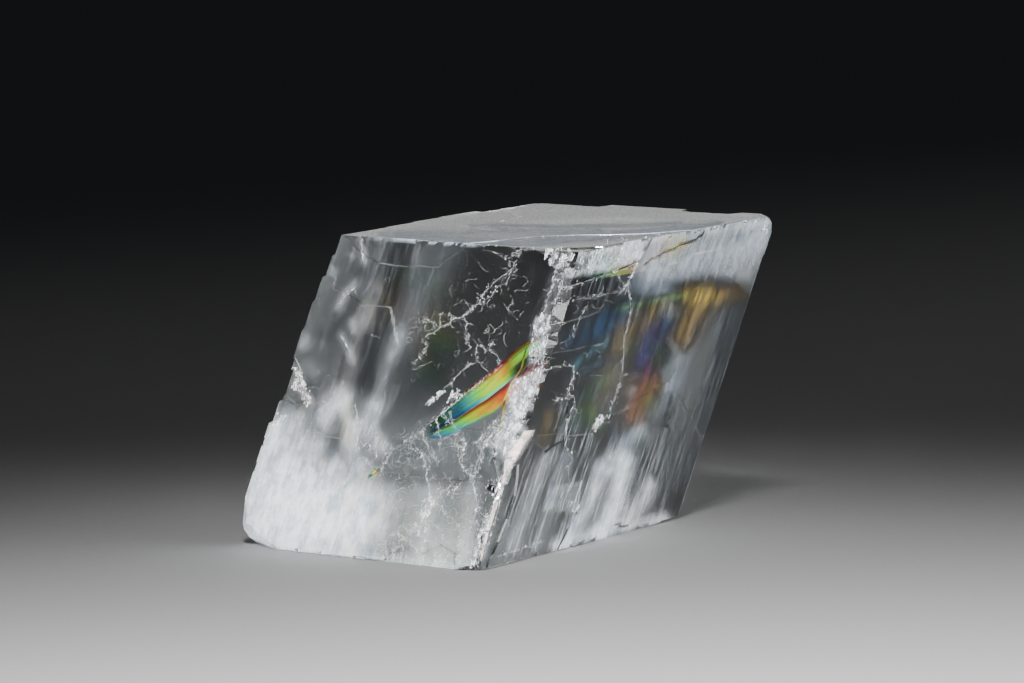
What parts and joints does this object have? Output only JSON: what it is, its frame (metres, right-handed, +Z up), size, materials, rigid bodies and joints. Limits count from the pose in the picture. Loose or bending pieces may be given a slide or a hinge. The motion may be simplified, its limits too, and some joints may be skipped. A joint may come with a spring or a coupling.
{
  "type": "clear calcite cleavage block",
  "caption": "Clear optical calcite rhomb lying on a cleavage face, with a crushed front edge, a stepped left side and worn corners.",
  "frame": {"origin": "middle of the whole base face, before its corners were lost, in the plane that the block rests on", "axes": "+Z up, square to the base face; +X from the left blunt corner of the base towards the right one, which is the way the block leans; -Y towards the crushed front edge"},
  "size_m": [0.0526, 0.0542, 0.0293],
  "materials": {
    "calcite": "clear and colourless, with bright cleavage faces, white crushed edges and milky patches"
  },
  "bodies": {
    "root": {"calcite_rhomb": "calcite"}
  },
  "joints": []
}
